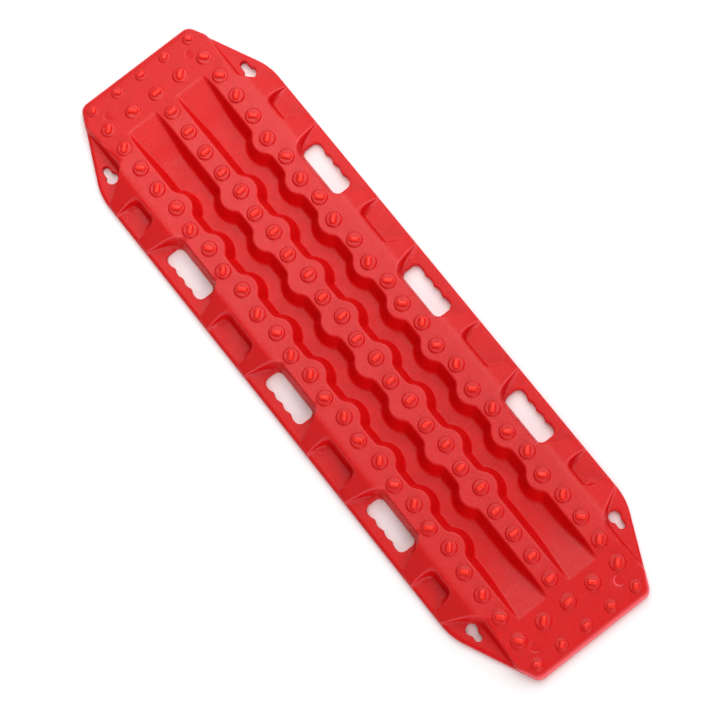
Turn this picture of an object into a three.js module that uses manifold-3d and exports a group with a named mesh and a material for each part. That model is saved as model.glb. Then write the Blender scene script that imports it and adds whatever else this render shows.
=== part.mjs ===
// Model-scale vehicle traction board: a thin red moulding with studded ridges, two grooves between
// them, ramped noses, and a lower flange along each long side with grip slots, pockets and keyhole tabs.
// Millimetres, +Z up. +X is the front nose, +Y the left side, and z = 0 is the face it lies on.
import * as THREE from 'three';
import { mergeVertices } from 'three/addons/utils/BufferGeometryUtils.js';
import Module from 'manifold-3d';

const wasm = await Module();
wasm.setup();

// ---------------------------------------------------------------- driving dimensions
const HALF_LENGTH = 72.6;
const HALF_WIDTH = 21.2;
const DECK = 5.0;               // top of the ridges
const FLANGE = 1.4;             // top of the flange, pocket floors and grip bars
const GROOVE_FLOOR = 1.2;       // top of the groove floors
const WALL = 1.2;               // wall thickness over the hollows underneath

const BEND_X = 57.8;            // where the deck starts to slope down to the nose
const SEAM_X = 61.4;            // where the ridges and ramps meet the nose plate
const RAMP_FOOT_X = 51.5;       // where the groove floors start to climb
const TIP_TOP = 2.05;           // height of the nose at its tip
const TIP_CHAMFER = 0.7;
const TIP_CORNER_Y = 13.29;     // where the nose's slanted side would meet the tip line
const TIP_CORNER_RADIUS = 2.0;
const SHOULDER_X = 55.6;        // where the slanted side would meet the long edge
const SHOULDER_RADIUS = 13.0;
const SEAM_Y = 14.9;            // outer face of the side ridges
const SLOPE_Y = 15.5;           // where the deck starts to slope down to the long edge

// Ridge edges seen from above. Every bulge is the same: a part circle that stands out of a straight edge.
const CENTRE_EDGE_Y = 2.24;
const SIDE_EDGE_Y = 9.68;
const BULGE_RADIUS = 3.13;
const BULGE_INSET = 1.5;        // from the bulge's centre to the straight edge
const BULGE_FILLET = 2.0;
const WALL_RUN = 1.35;          // how far a groove wall leans out between the deck and the floor
const EDGE_BREAK = 0.25;        // bevel at the top of a groove wall

// Studs
const PITCH = 5.3;
const SLOT_GAP = 0.43;          // extra space after stud number GAP_AFTER
const GAP_AFTER = 3;
const END_PITCH = 5.43;         // spacing of the outer studs
const EVEN_STUDS = 8;           // studs each side of the middle one that stand at PITCH
const FIRST_NOSE_STUD = 12;     // number of the first stud on a nose, counted from the middle
const LAST_STUD = 13;
const SIDE_ROW_Y = 11.82;
const BULGE_SHIFT = 0.64;       // a stud on a bulge stands this far off its row's line
const NOSE_ROW_Y = 5.88;        // the short rows between the long ones, on the noses only
const STUD = { radius: 1.47, boss: 0.4, bar: 0.5, barLength: 1.8, barWidth: 0.75 };
const TIP_STUD = { radius: 1.15, boss: 0.35, bar: 0.4, barLength: 1.3, barWidth: 0.6 };
const STUD_ROOT = 0.5;          // depth that a stud is sunk into the deck
const STUD_TAPER = 0.08;        // how much a boss narrows to its top and widens to its root

// Side flange
const GRIP_X = [-31.8, 0, 31.8];
const GRIP_NAMES = ['rear', 'middle', 'front'];
const GRIP_INNER = 6.4;         // half width of the grip recess at the ridge
const GRIP_OUTER = 8.75;        // half width of the grip recess at the long edge
const SLOT_HALF_LENGTH = 5.72;
const SLOT_OUTER_Y = 18.9;
const SLOT_CORNER = 1.3;
const SLOT_MOUTH = 4.2;         // half width of the cut that opens the slot onto the ridge's face
const CUSP_Y = 18.5;            // tips between the finger scallops
const BAR_Y = 18.4;             // where the grip bar meets the webs at its ends
const SCALLOP = 2.66;           // spacing of the finger scallops
const POCKET_INNER_Y = 16.4;
const POCKET_CORNER = 1.3;
const INNER_POCKET = [11.2, 20.6];
const OUTER_POCKET = [43.5, 50.1];
const TAB_INNER_X = 56.4;       // foot of the keyhole tab's wall at the ridge
const TAB_OUTER_X = 52.5;       // the same wall at the long edge
const KEYHOLE = { x: 57.0, y: 17.2, radius: 1.2, slotX: 59.1, slotRadius: 0.72 };

const OVERSHOOT = 1.0;          // how far a cutting solid runs past what it cuts
const ARC_STEPS = 2;            // half the steps in each rounded corner
const STUD_SIDES = 10;
const SCALLOP_STEPS = 3;        // steps from a cusp to the deepest point of its scallop
const KEYHOLE_SIDES = 16;

// ---------------------------------------------------------------- solids and outlines
function solidOf(geometry) {
  const bare = geometry.clone();
  bare.deleteAttribute('normal');
  bare.deleteAttribute('uv');
  const merged = mergeVertices(bare, 1e-4);
  return new wasm.Manifold(new wasm.Mesh({
    numProp: 3,
    vertProperties: new Float32Array(merged.attributes.position.array),
    triVerts: new Uint32Array(merged.index.array),
  }));
}

function geometryOf(solid) {
  const mesh = solid.getMesh();
  const geometry = new THREE.BufferGeometry();
  geometry.setAttribute('position', new THREE.BufferAttribute(mesh.vertProperties, 3));
  geometry.setIndex(new THREE.BufferAttribute(mesh.triVerts, 1));
  geometry.computeVertexNormals();
  return geometry;
}

// An upright solid over a plan outline, from z = low to z = high.
function prism(shape, low, high) {
  const geometry = new THREE.ExtrudeGeometry(shape, {
    depth: high - low, bevelEnabled: false, curveSegments: ARC_STEPS,
  });
  geometry.translate(0, 0, low);
  return solidOf(geometry);
}

function box(x0, x1, y0, y1, z0, z1) {
  const geometry = new THREE.BoxGeometry(x1 - x0, y1 - y0, z1 - z0);
  geometry.translate((x0 + x1) / 2, (y0 + y1) / 2, (z0 + z1) / 2);
  return solidOf(geometry);
}

// A polygon whose corners are [x, y, radius]; a corner with no radius stays sharp.
function roundedShape(corners) {
  const shape = new THREE.Shape();
  corners.forEach(([x, y, radius = 0], i) => {
    const corner = new THREE.Vector2(x, y);
    const previous = new THREE.Vector2(...corners.at(i - 1).slice(0, 2));
    const next = new THREE.Vector2(...corners[(i + 1) % corners.length].slice(0, 2));
    const inward = previous.sub(corner).normalize();
    const outward = next.sub(corner).normalize();
    const halfAngle = Math.acos(inward.dot(outward)) / 2;
    const reach = radius / Math.tan(halfAngle);
    const start = corner.clone().addScaledVector(inward, reach);
    if (i === 0) shape.moveTo(start.x, start.y);
    else shape.lineTo(start.x, start.y);
    if (radius === 0) return;
    const end = corner.clone().addScaledVector(outward, reach);
    const middle = inward.clone().add(outward).normalize();
    const centre = corner.clone().addScaledVector(middle, radius / Math.sin(halfAngle));
    const from = start.sub(centre).angle();
    const to = end.sub(centre).angle();
    const clockwise = inward.cross(outward) > 0;
    shape.absarc(centre.x, centre.y, radius, from, to, clockwise);
  });
  return shape;
}

// A closed solid through rings of points, lowest first, all with the same number of points.
function loft(rings) {
  const count = rings[0].length;
  const positions = rings.flat().flatMap((point) => [point.x, point.y, point.z]);
  const caps = THREE.ShapeUtils.triangulateShape(rings[0].map((p) => new THREE.Vector2(p.x, p.y)), []);
  const index = [];
  for (const [a, b, c] of caps) index.push(a, c, b);
  for (let ring = 0; ring < rings.length - 1; ring++) {
    for (let i = 0; i < count; i++) {
      const a = ring * count + i;
      const b = ring * count + (i + 1) % count;
      index.push(a, b, b + count, a, b + count, a + count);
    }
  }
  const last = (rings.length - 1) * count;
  for (const [a, b, c] of caps) index.push(last + a, last + b, last + c);
  const geometry = new THREE.BufferGeometry();
  geometry.setAttribute('position', new THREE.Float32BufferAttribute(positions, 3));
  geometry.setIndex(index);
  return solidOf(geometry);
}

// ---------------------------------------------------------------- shape of the deck
const NOSE_SLOPE = (DECK - TIP_TOP) / (HALF_LENGTH - BEND_X);

function deckHeight(x) {
  return DECK - NOSE_SLOPE * Math.max(0, Math.abs(x) - BEND_X);
}

// Everything under the deck surface, moved down by depth: level in the middle, sloping to both
// noses and to both long edges.
function underDeck(depth = 0) {
  const bottom = -OVERSHOOT - depth;
  const half = new THREE.Shape();
  half.moveTo(-HALF_LENGTH, bottom);
  half.lineTo(HALF_LENGTH, bottom);
  half.lineTo(HALF_LENGTH, TIP_TOP - TIP_CHAMFER);
  half.lineTo(HALF_LENGTH - TIP_CHAMFER, deckHeight(HALF_LENGTH - TIP_CHAMFER));
  half.lineTo(BEND_X, DECK);
  half.lineTo(-BEND_X, DECK);
  half.lineTo(TIP_CHAMFER - HALF_LENGTH, deckHeight(HALF_LENGTH - TIP_CHAMFER));
  half.lineTo(-HALF_LENGTH, TIP_TOP - TIP_CHAMFER);
  const lengthways = new THREE.ExtrudeGeometry(half, { depth: 2 * HALF_WIDTH, bevelEnabled: false });
  lengthways.rotateX(Math.PI / 2);
  lengthways.translate(0, HALF_WIDTH, -depth);

  const across = new THREE.Shape();
  across.moveTo(-HALF_WIDTH, bottom);
  across.lineTo(HALF_WIDTH, bottom);
  across.lineTo(HALF_WIDTH, FLANGE);
  across.lineTo(SLOPE_Y, DECK);
  across.lineTo(-SLOPE_Y, DECK);
  across.lineTo(-HALF_WIDTH, FLANGE);
  const sideways = new THREE.ExtrudeGeometry(across, { depth: 2 * HALF_LENGTH, bevelEnabled: false });
  sideways.rotateX(Math.PI / 2);
  sideways.rotateZ(Math.PI / 2);
  sideways.translate(-HALF_LENGTH, 0, -depth);
  return solidOf(lengthways).intersect(solidOf(sideways));
}

const deckEnvelope = underDeck();
const hollowEnvelope = underDeck(WALL);

// ---------------------------------------------------------------- studs
// Distance of stud number index (0 is the middle one) from the middle of its row.
function studX(index) {
  const n = Math.abs(index);
  const inner = Math.min(n, EVEN_STUDS) * PITCH + (n > GAP_AFTER ? SLOT_GAP : 0);
  return Math.sign(index) * (inner + Math.max(0, n - EVEN_STUDS) * END_PITCH);
}

function studNumbers(low, high) {
  const numbers = [];
  for (let i = -LAST_STUD; i <= LAST_STUD; i++) {
    if (Math.abs(i) >= low && Math.abs(i) <= high) numbers.push(i);
  }
  return numbers;
}

const isEven = (number) => number % 2 === 0;
const SIDE_BULGES = studNumbers(0, EVEN_STUDS).filter(isEven);
const CENTRE_BULGES = studNumbers(0, EVEN_STUDS).filter((number) => !isEven(number));

// The bars of the side rows lean alternately, and the two on each nose lean alike. +1 or -1.
function sideLean(number, side) {
  const end = number < 0 ? -1 : 1;
  const turned = !isEven(number) || Math.abs(number) >= FIRST_NOSE_STUD;
  return side * end * (turned ? -1 : 1);
}

// A round boss with a bar across it, square to the deck at that place.
function stud(number, y, barAngle) {
  const size = Math.abs(number) === LAST_STUD ? TIP_STUD : STUD;
  const x = studX(number);
  const boss = new THREE.CylinderGeometry(
    size.radius * (1 - STUD_TAPER), size.radius * (1 + STUD_TAPER), size.boss + STUD_ROOT, STUD_SIDES);
  boss.rotateX(Math.PI / 2);
  boss.translate(0, 0, (size.boss - STUD_ROOT) / 2);
  const bar = new THREE.BoxGeometry(size.barLength, size.barWidth, size.bar + STUD_ROOT);
  bar.translate(0, 0, size.boss + (size.bar - STUD_ROOT) / 2);
  bar.rotateZ(barAngle);
  const tilt = Math.abs(x) > BEND_X ? Math.atan(NOSE_SLOPE) * Math.sign(x) : 0;
  const place = new THREE.Matrix4().makeRotationY(tilt).setPosition(x, y, deckHeight(x));
  return solidOf(boss.applyMatrix4(place)).add(solidOf(bar.applyMatrix4(place)));
}

function withStuds(solid, studs) {
  return studs.reduce((sum, one) => sum.add(one), solid);
}

function sideRowStuds(side) {
  return studNumbers(0, FIRST_NOSE_STUD - 1).map((number) => {
    const shift = SIDE_BULGES.includes(number) ? BULGE_SHIFT : 0;
    return stud(number, side * (SIDE_ROW_Y - shift), sideLean(number, side) * Math.PI / 4);
  });
}

function centreRowStuds() {
  return studNumbers(0, FIRST_NOSE_STUD - 1).map((number) => {
    const shift = CENTRE_BULGES.includes(number) ? BULGE_SHIFT : 0;
    return stud(number, shift, Math.PI / 2);
  });
}

// ---------------------------------------------------------------- ridges and grooves
// One long edge of a ridge, from rear to front, with its bulges. facing is +1 when the groove is on
// the +Y side of the edge. offset moves the edge out into the groove.
function ridgeEdge(edgeY, facing, bulges, halfLength, offset) {
  const points = [[-halfLength, edgeY + facing * offset]];
  const fillet = BULGE_FILLET - offset;
  const circle = BULGE_RADIUS + offset;
  const rise = BULGE_INSET + BULGE_FILLET;
  const spread = Math.sqrt((BULGE_RADIUS + BULGE_FILLET) ** 2 - rise ** 2);
  const contact = Math.atan2(rise, spread);
  const steps = 2 * ARC_STEPS;
  const centreY = edgeY - facing * BULGE_INSET;
  const filletY = edgeY + facing * BULGE_FILLET;
  for (const number of bulges) {
    const x = studX(number);
    for (let i = 0; i <= ARC_STEPS; i++) {
      const angle = -Math.PI / 2 + (Math.PI / 2 - contact) * i / ARC_STEPS;
      points.push([x - spread + fillet * Math.cos(angle), filletY + facing * fillet * Math.sin(angle)]);
    }
    for (let i = 1; i < steps; i++) {
      const angle = Math.PI - contact - (Math.PI - 2 * contact) * i / steps;
      points.push([x + circle * Math.cos(angle), centreY + facing * circle * Math.sin(angle)]);
    }
    for (let i = 0; i <= ARC_STEPS; i++) {
      const angle = Math.PI + contact + (Math.PI / 2 - contact) * i / ARC_STEPS;
      points.push([x + spread + fillet * Math.cos(angle), filletY + facing * fillet * Math.sin(angle)]);
    }
  }
  points.push([halfLength, edgeY + facing * offset]);
  return points;
}

const centreEdge = (side, halfLength, offset) => (
  ridgeEdge(side * CENTRE_EDGE_Y, side, CENTRE_BULGES, halfLength, offset));
const sideEdge = (side, halfLength, offset) => (
  ridgeEdge(side * SIDE_EDGE_Y, -side, SIDE_BULGES, halfLength, offset));

// Levels of a groove wall: [height, offset into the groove].
const WALL_LEVELS = [
  [0, WALL_RUN], [GROOVE_FLOOR, WALL_RUN], [DECK - EDGE_BREAK, EDGE_BREAK / 2], [DECK, 0],
];
const HOLLOW_LEVELS = [
  [-OVERSHOOT, WALL_RUN - WALL], [GROOVE_FLOOR, WALL_RUN - WALL], [DECK - WALL, -WALL],
];

function ring(lowerEdge, upperEdge, z) {
  return [...lowerEdge, ...upperEdge.toReversed()].map(([x, y]) => new THREE.Vector3(x, y, z));
}

// The hollow under a ridge is straight: its walls lean with the ridge's but take no bulges.
function ridgeHollow(lowY, highY, lowFacing, highFacing) {
  const reach = SEAM_X - WALL;
  const straight = (y, facing, offset) => [[-reach, y + facing * offset], [reach, y + facing * offset]];
  return loft(HOLLOW_LEVELS.map(([z, offset]) => (
    ring(straight(lowY, lowFacing, offset), straight(highY, highFacing, offset), z)
  ))).intersect(hollowEnvelope);
}

function centreRidge() {
  const shell = loft(WALL_LEVELS.map(([z, offset]) => (
    ring(centreEdge(-1, SEAM_X, offset), centreEdge(1, SEAM_X, offset), z)
  ))).intersect(deckEnvelope);
  const hollow = ridgeHollow(-CENTRE_EDGE_Y, CENTRE_EDGE_Y, -1, 1);
  return withStuds(shell.subtract(hollow), centreRowStuds());
}

function sideRidge(side) {
  const outer = [[-SEAM_X, side * SEAM_Y], [SEAM_X, side * SEAM_Y]];
  const shell = loft(WALL_LEVELS.map(([z, offset]) => {
    const inner = sideEdge(side, SEAM_X, offset);
    return side > 0 ? ring(inner, outer, z) : ring(outer, inner, z);
  })).intersect(deckEnvelope);
  const hollow = side > 0
    ? ridgeHollow(SIDE_EDGE_Y, SEAM_Y - WALL, -1, 0)
    : ridgeHollow(WALL - SEAM_Y, -SIDE_EDGE_Y, 0, 1);
  return withStuds(shell.subtract(hollow), sideRowStuds(side));
}

// The space between the centre ridge and one side ridge.
function grooveSpace(side, halfLength, levels) {
  return loft(levels.map(([z, offset]) => {
    const inner = centreEdge(side, halfLength, offset);
    const outer = sideEdge(side, halfLength, offset);
    return side > 0 ? ring(inner, outer, z) : ring(outer, inner, z);
  }));
}

function grooveFloor(side) {
  return grooveSpace(side, RAMP_FOOT_X, WALL_LEVELS.slice(0, 2));
}

// The sloping plate that closes one end of a groove and climbs to the nose.
function ramp(end, side) {
  const top = deckHeight(SEAM_X);
  const profile = new THREE.Shape();
  profile.moveTo(end * RAMP_FOOT_X, 0);
  profile.lineTo(end * SEAM_X, top - WALL);
  profile.lineTo(end * SEAM_X, top);
  profile.lineTo(end * RAMP_FOOT_X, GROOVE_FLOOR);
  const plate = new THREE.ExtrudeGeometry(profile, { depth: 2 * HALF_WIDTH, bevelEnabled: false });
  plate.rotateX(Math.PI / 2);
  plate.translate(0, HALF_WIDTH, 0);
  return solidOf(plate).intersect(grooveSpace(side, SEAM_X, WALL_LEVELS));
}

// ---------------------------------------------------------------- noses and keyhole tabs
const SLANT = (HALF_WIDTH - TIP_CORNER_Y) / (HALF_LENGTH - SHOULDER_X);
const SLANT_AT_SEAM_X = HALF_LENGTH - (SEAM_Y - TIP_CORNER_Y) / SLANT;

function nose(end) {
  const outline = (inset, inner) => roundedShape([
    [end * inner, -(SEAM_Y - inset)],
    [end * (SLANT_AT_SEAM_X - inset), -(SEAM_Y - inset)],
    [end * (HALF_LENGTH - inset), -(TIP_CORNER_Y - inset), TIP_CORNER_RADIUS - inset],
    [end * (HALF_LENGTH - inset), TIP_CORNER_Y - inset, TIP_CORNER_RADIUS - inset],
    [end * (SLANT_AT_SEAM_X - inset), SEAM_Y - inset],
    [end * inner, SEAM_Y - inset],
  ]);
  const shell = prism(outline(0, SEAM_X), 0, DECK).intersect(deckEnvelope);
  const hollow = prism(outline(WALL, SEAM_X - OVERSHOOT), -OVERSHOOT, DECK).intersect(hollowEnvelope);
  const toThisEnd = (number) => Math.sign(number) === end;
  const studs = studNumbers(FIRST_NOSE_STUD, LAST_STUD).filter(toThisEnd).flatMap((number) => [
    stud(number, 0, Math.PI / 2),
    ...[-1, 1].flatMap((side) => [
      stud(number, side * NOSE_ROW_Y, end * side * Math.PI / 4),
      stud(number, side * SIDE_ROW_Y, sideLean(number, side) * Math.PI / 4),
    ]),
  ]);
  return withStuds(shell.subtract(hollow), studs);
}

function keyholeTab(end, side) {
  const plate = prism(roundedShape([
    [end * TAB_INNER_X, side * SEAM_Y],
    [end * SLANT_AT_SEAM_X, side * SEAM_Y],
    [end * SHOULDER_X, side * HALF_WIDTH, SHOULDER_RADIUS],
    [end * TAB_OUTER_X, side * HALF_WIDTH],
  ]), 0, FLANGE);
  const { x, y, radius, slotX, slotRadius } = KEYHOLE;
  const round = new THREE.CylinderGeometry(radius, radius, FLANGE + 2 * OVERSHOOT, KEYHOLE_SIDES);
  round.rotateX(Math.PI / 2);
  round.translate(end * x, side * y, FLANGE / 2);
  const narrow = new THREE.CylinderGeometry(
    slotRadius, slotRadius, FLANGE + 2 * OVERSHOOT, KEYHOLE_SIDES);
  narrow.rotateX(Math.PI / 2);
  narrow.translate(end * slotX, side * y, FLANGE / 2);
  const neck = box(
    Math.min(end * x, end * slotX), Math.max(end * x, end * slotX),
    side * y - slotRadius, side * y + slotRadius, -OVERSHOOT, FLANGE + OVERSHOOT);
  return plate.subtract(solidOf(round)).subtract(solidOf(narrow)).subtract(neck);
}

// ---------------------------------------------------------------- side flange
// A shoulder fills the space between two recesses. inner and outer are its two end walls, each as
// [x at the ridge, x at the long edge]; pocket is the [low, high] of the pocket cut into it.
function shoulderOutline(end, side, inner, outer) {
  return roundedShape([
    [end * inner[0], side * SEAM_Y],
    [end * outer[0], side * SEAM_Y],
    [end * outer[1], side * HALF_WIDTH],
    [end * inner[1], side * HALF_WIDTH],
  ]);
}

function pocketOutline(end, side, pocket, reach) {
  return roundedShape([
    [end * pocket[0], side * reach],
    [end * pocket[0], side * POCKET_INNER_Y, POCKET_CORNER],
    [end * pocket[1], side * POCKET_INNER_Y, POCKET_CORNER],
    [end * pocket[1], side * reach],
  ]);
}

// The hollow under a spur: between its sloping end wall and the pocket beside it.
function spurHollow(end, side, wall, pocketX) {
  const inward = Math.sign(pocketX - wall[0]);
  return prism(roundedShape([
    [end * (wall[0] + inward * WALL), side * (SEAM_Y - OVERSHOOT)],
    [end * (pocketX - inward * WALL), side * (SEAM_Y - OVERSHOOT)],
    [end * (pocketX - inward * WALL), side * (HALF_WIDTH - WALL)],
    [end * (wall[1] + inward * WALL), side * (HALF_WIDTH - WALL)],
  ]), -OVERSHOOT, DECK).intersect(hollowEnvelope);
}

function shoulder(end, side, inner, outer, pocket) {
  const block = prism(shoulderOutline(end, side, inner, outer), 0, DECK).intersect(deckEnvelope);
  const opening = prism(
    pocketOutline(end, side, pocket, HALF_WIDTH + OVERSHOOT), -OVERSHOOT, DECK + OVERSHOOT);
  return block.subtract(opening)
    .subtract(spurHollow(end, side, inner, pocket[0]))
    .subtract(spurHollow(end, side, outer, pocket[1]));
}

function pocketFloor(end, side, pocket) {
  return prism(pocketOutline(end, side, pocket, HALF_WIDTH), 0, FLANGE);
}

// The hand slot: flush with the ridge on its inner side, with finger scallops on its outer side.
function slotOutline(centreX, side) {
  const scallops = [];
  for (let i = 3 * SCALLOP_STEPS; i >= -3 * SCALLOP_STEPS; i--) {
    const u = SCALLOP * i / (2 * SCALLOP_STEPS);
    const depth = (SLOT_OUTER_Y - CUSP_Y) * Math.abs(Math.sin(Math.PI * u / SCALLOP));
    scallops.push([u, CUSP_Y + depth]);
  }
  return roundedShape([
    [-SLOT_MOUTH, SEAM_Y - OVERSHOOT],
    [SLOT_MOUTH, SEAM_Y - OVERSHOOT],
    [SLOT_MOUTH, SEAM_Y],
    [SLOT_HALF_LENGTH, SEAM_Y, SLOT_CORNER],
    [SLOT_HALF_LENGTH, SLOT_OUTER_Y, SLOT_CORNER],
    ...scallops,
    [-SLOT_HALF_LENGTH, SLOT_OUTER_Y, SLOT_CORNER],
    [-SLOT_HALF_LENGTH, SEAM_Y, SLOT_CORNER],
    [-SLOT_MOUTH, SEAM_Y],
  ].map(([u, y, radius]) => [centreX + u, side * y, radius]));
}

// The grip recess's floor around the slot, in three pieces: the bar that the fingers close on, and
// the webs that carry it at both ends.
function gripPieces(centreX, side) {
  const panel = prism(roundedShape([
    [centreX - GRIP_INNER, side * SEAM_Y],
    [centreX + GRIP_INNER, side * SEAM_Y],
    [centreX + GRIP_OUTER, side * HALF_WIDTH],
    [centreX - GRIP_OUTER, side * HALF_WIDTH],
  ]), 0, FLANGE).subtract(prism(slotOutline(centreX, side), -OVERSHOOT, FLANGE + OVERSHOOT));
  const cut = (x0, x1, y0, y1) => panel.intersect(box(
    x0, x1, Math.min(side * y0, side * y1), Math.max(side * y0, side * y1), -OVERSHOOT, FLANGE + OVERSHOOT));
  const far = centreX + GRIP_OUTER + OVERSHOOT;
  const near = centreX - GRIP_OUTER - OVERSHOOT;
  return {
    bar: cut(near, far, BAR_Y, HALF_WIDTH + OVERSHOOT),
    fore_web: cut(centreX, far, SEAM_Y - OVERSHOOT, BAR_Y),
    aft_web: cut(near, centreX, SEAM_Y - OVERSHOOT, BAR_Y),
  };
}

// ---------------------------------------------------------------- assembly
const board = new THREE.Group();

function addPiece(name, solid) {
  const material = new THREE.MeshStandardMaterial({ color: '#d2262b', roughness: 0.5, metalness: 0 });
  const mesh = new THREE.Mesh(geometryOf(solid), material);
  mesh.name = name;
  board.add(mesh);
}

const SIDES = { left: 1, right: -1 };
const ENDS = { front: 1, rear: -1 };

addPiece('centre_ridge', centreRidge());
for (const [sideName, side] of Object.entries(SIDES)) {
  addPiece(`${sideName}_ridge`, sideRidge(side));
  addPiece(`${sideName}_groove_floor`, grooveFloor(side));
  GRIP_X.forEach((x, i) => {
    for (const [pieceName, solid] of Object.entries(gripPieces(x, side))) {
      addPiece(`${sideName}_${GRIP_NAMES[i]}_grip_${pieceName}`, solid);
    }
  });
}

const MIDDLE_WALL = [GRIP_INNER, GRIP_OUTER];
const GRIP_NEAR_WALL = [GRIP_X[2] - GRIP_INNER, GRIP_X[2] - GRIP_OUTER];
const GRIP_FAR_WALL = [GRIP_X[2] + GRIP_INNER, GRIP_X[2] + GRIP_OUTER];
const TAB_WALL = [TAB_INNER_X, TAB_OUTER_X];

for (const [endName, end] of Object.entries(ENDS)) {
  addPiece(`${endName}_nose`, nose(end));
  for (const [sideName, side] of Object.entries(SIDES)) {
    const corner = `${endName}_${sideName}`;
    addPiece(`${corner}_ramp`, ramp(end, side));
    addPiece(`${corner}_keyhole_tab`, keyholeTab(end, side));
    addPiece(`${corner}_inner_shoulder`, shoulder(end, side, MIDDLE_WALL, GRIP_NEAR_WALL, INNER_POCKET));
    addPiece(`${corner}_outer_shoulder`, shoulder(end, side, GRIP_FAR_WALL, TAB_WALL, OUTER_POCKET));
    addPiece(`${corner}_inner_pocket_floor`, pocketFloor(end, side, INNER_POCKET));
    addPiece(`${corner}_outer_pocket_floor`, pocketFloor(end, side, OUTER_POCKET));
  }
}

export default board;
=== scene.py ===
"""Looks of a model-scale traction board: one red plastic moulding on a pale floor.

The board is one piece, so its whole skin is one mesh. Each place of the plan has two heights, the top
face's and the underside's, and each height is put together from walls with rounded creases. The plan
is cut into triangles along the lines where the skin bends. +X is the front and +Y the left side. Plan
sizes and heights are in millimetres, and everything in the scene itself is in metres.
"""

import math
from collections import namedtuple

import bpy
import numpy as np
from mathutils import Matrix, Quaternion, Vector
from mathutils.geometry import delaunay_2d_cdt
from mathutils.kdtree import KDTree


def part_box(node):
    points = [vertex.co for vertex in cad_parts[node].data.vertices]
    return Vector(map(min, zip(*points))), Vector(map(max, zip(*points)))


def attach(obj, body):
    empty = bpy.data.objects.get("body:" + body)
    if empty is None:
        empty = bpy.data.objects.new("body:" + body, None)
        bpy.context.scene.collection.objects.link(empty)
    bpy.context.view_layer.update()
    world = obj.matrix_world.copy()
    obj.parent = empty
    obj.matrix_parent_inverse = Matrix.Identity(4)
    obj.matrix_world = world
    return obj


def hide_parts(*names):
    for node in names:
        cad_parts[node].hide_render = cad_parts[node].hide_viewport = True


MM = 0.001

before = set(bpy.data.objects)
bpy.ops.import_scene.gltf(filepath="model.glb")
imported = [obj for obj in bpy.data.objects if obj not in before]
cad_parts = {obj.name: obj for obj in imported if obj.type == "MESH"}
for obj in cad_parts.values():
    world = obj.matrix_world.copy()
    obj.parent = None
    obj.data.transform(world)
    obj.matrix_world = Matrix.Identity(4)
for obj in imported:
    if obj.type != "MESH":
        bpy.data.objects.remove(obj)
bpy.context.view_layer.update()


# ---------------------------------------------------------------- sizes that the CAD frame gives
def box_in_mm(node):
    """The lowest and highest corner of a CAD node."""
    low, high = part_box(node)
    return low / MM, high / MM


_, ridge_high = box_in_mm("left_ridge")
_, nose_high = box_in_mm("front_nose")
_, groove_high = box_in_mm("left_groove_floor")
inner_shoulder_low, inner_shoulder_high = box_in_mm("front_left_inner_shoulder")
outer_shoulder_low, outer_shoulder_high = box_in_mm("front_left_outer_shoulder")
inner_pocket_low, inner_pocket_high = box_in_mm("front_left_inner_pocket_floor")
outer_pocket_low, outer_pocket_high = box_in_mm("front_left_outer_pocket_floor")
_, grip_high = box_in_mm("left_middle_grip_bar")

HALF_LENGTH, HALF_WIDTH = nose_high.x, inner_shoulder_high.y
DECK = inner_shoulder_high.z           # top of the ridges
FLANGE = inner_pocket_high.z           # top of the flange along each long side
GROOVE_FLOOR = groove_high.z
RAMP_FOOT_X = groove_high.x            # where the groove floors start to climb
SEAM_X, SEAM_Y = ridge_high.x, ridge_high.y     # end of the grooves, outer face of the side ridges
POCKET_SHIFT = 0.2                     # how much further out the pockets start than in the CAD
POCKET_FOOT_Y = inner_pocket_low.y + POCKET_SHIFT
GRIP_INNER = inner_shoulder_low.x      # half width of a grip recess at the ridge
GRIP_OUTER = grip_high.x               # and at the long edge
GRIP_X = (inner_shoulder_high.x + outer_shoulder_low.x) / 2
TAB_INNER_X = outer_shoulder_high.x    # foot of the keyhole tab's end wall at the ridge

# ---------------------------------------------------------------- sizes that its boxes don't show
WALL = 1.2                             # thickness over the hollows underneath
BEND_X = 57.8                          # where the deck starts to slope down to the nose
TIP_TOP = 2.05                         # height of the nose at its tip
SLOPE_Y = 15.5                         # where the deck starts to slope down to the long edge
TIP_CORNER = (HALF_LENGTH, 13.29, 2.0)          # x, y and radius
SHOULDER_CORNER = (55.6, HALF_WIDTH, 13.0)
TAB_OUTER_X = 52.5                     # foot of the tab's end wall at the long edge
TAB_FOOT_Y = 15.3                      # foot of the wall along the tab
GRIP_CORNER = 1.2                      # radii of the recesses' inner corners
POCKET_CORNER = 1.5
TAB_CORNER = 1.2

CENTRE_EDGE_Y = 2.24                   # straight part of the centre ridge's edges
SIDE_EDGE_Y = 9.68                     # straight part of the side ridges' inner edges
BULGE_RADIUS = 3.13
BULGE_INSET = 1.5                      # from a bulge's centre to the straight edge
BULGE_FILLET = 2.0
GROOVE_WALL_RUN = 1.35                 # how far a groove wall leans out from the deck to the floor

PITCH = 5.3                            # spacing of the studs
SLOT_GAP = 0.43                        # extra space after stud number GAP_AFTER
GAP_AFTER = 3
END_PITCH = 5.43                       # spacing after stud number EVEN_STUDS
EVEN_STUDS = 8
FIRST_NOSE_STUD = 12
LAST_STUD = 13
SIDE_ROW_Y = 11.82
NOSE_ROW_Y = 5.88
BULGE_SHIFT = 0.64                     # a stud on a bulge stands this far off its row's line

SLOT_HALF_LENGTH = 5.72
SLOT_OUTER_Y = 18.9
SLOT_CORNER = 1.3
CUSP_Y = 18.5                          # tips between the finger scallops
SCALLOP = 2.66                         # spacing of the finger scallops
SCALLOPS = 3
KEYHOLE_CENTRE = (57.0, 17.2)
KEYHOLE_RADIUS = 1.2
KEYHOLE_REACH = 2.1                    # from the round hole's centre to the end of its slot
KEYHOLE_SLOT_RADIUS = 0.72

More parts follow.
